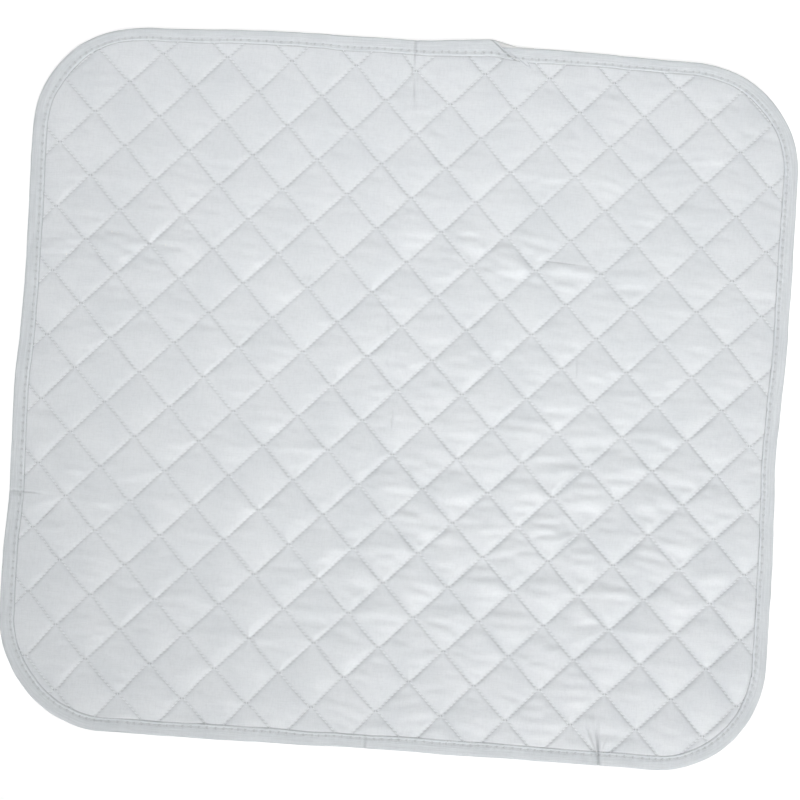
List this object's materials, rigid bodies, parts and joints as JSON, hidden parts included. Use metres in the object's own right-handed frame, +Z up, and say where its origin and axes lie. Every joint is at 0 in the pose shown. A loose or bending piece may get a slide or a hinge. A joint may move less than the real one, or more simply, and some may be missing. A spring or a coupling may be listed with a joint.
{
  "type": "ironing pad",
  "caption": "Flat quilted ironing pad with rounded corners: silver-grey face cloth, wadding and backing sewn in diamonds, with a folded cloth binding round the edge.",
  "frame": {"origin": "centre of the pad's outline, on the surface it lies on", "axes": "+X across the pad to the right of the picture, +Y to the edge at the top of the picture, +Z up out of the face"},
  "size_m": [0.6, 0.557, 0.0061],
  "materials": {
    "face_cloth": "smooth silver-grey coated cotton with a soft satin sheen",
    "wadding": "loose white needled fibre",
    "backing_cloth": "plain weave, matt",
    "binding_tape": "smooth silver-grey coated cotton tape",
    "quilting_thread": "twisted polyester thread",
    "binding_thread": "twisted polyester thread"
  },
  "bodies": {
    "root": {"face_cloth": "face_cloth", "wadding": "wadding", "backing_cloth": "backing_cloth", "edge_binding": "binding_tape", "binding_needle_thread": "binding_thread", "binding_bobbin_thread": "binding_thread", "quilting_needle_thread_01": "quilting_thread", "quilting_needle_thread_02": "quilting_thread", "quilting_needle_thread_03": "quilting_thread", "quilting_needle_thread_04": "quilting_thread", "quilting_needle_thread_05": "quilting_thread", "quilting_needle_thread_06": "quilting_thread", "quilting_needle_thread_07": "quilting_thread", "quilting_needle_thread_08": "quilting_thread", "quilting_needle_thread_09": "quilting_thread", "quilting_needle_thread_10": "quilting_thread", "quilting_needle_thread_11": "quilting_thread", "quilting_needle_thread_12": "quilting_thread", "quilting_needle_thread_13": "quilting_thread", "quilting_needle_thread_14": "quilting_thread", "quilting_needle_thread_15": "quilting_thread", "quilting_needle_thread_16": "quilting_thread", "quilting_needle_thread_17": "quilting_thread", "quilting_needle_thread_18": "quilting_thread", "quilting_needle_thread_19": "quilting_thread", "quilting_needle_thread_20": "quilting_thread", "quilting_needle_thread_21": "quilting_thread", "quilting_needle_thread_22": "quilting_thread", "quilting_bobbin_thread_01": "quilting_thread", "quilting_bobbin_thread_02": "quilting_thread", "quilting_bobbin_thread_03": "quilting_thread", "quilting_bobbin_thread_04": "quilting_thread", "quilting_bobbin_thread_05": "quilting_thread", "quilting_bobbin_thread_06": "quilting_thread", "quilting_bobbin_thread_07": "quilting_thread", "quilting_bobbin_thread_08": "quilting_thread", "quilting_bobbin_thread_09": "quilting_thread", "quilting_bobbin_thread_10": "quilting_thread", "quilting_bobbin_thread_11": "quilting_thread", "quilting_bobbin_thread_12": "quilting_thread", "quilting_bobbin_thread_13": "quilting_thread", "quilting_bobbin_thread_14": "quilting_thread", "quilting_bobbin_thread_15": "quilting_thread", "quilting_bobbin_thread_16": "quilting_thread", "quilting_bobbin_thread_17": "quilting_thread", "quilting_bobbin_thread_18": "quilting_thread", "quilting_bobbin_thread_19": "quilting_thread", "quilting_bobbin_thread_20": "quilting_thread", "quilting_bobbin_thread_21": "quilting_thread", "quilting_bobbin_thread_22": "quilting_thread"}
  },
  "joints": []
}
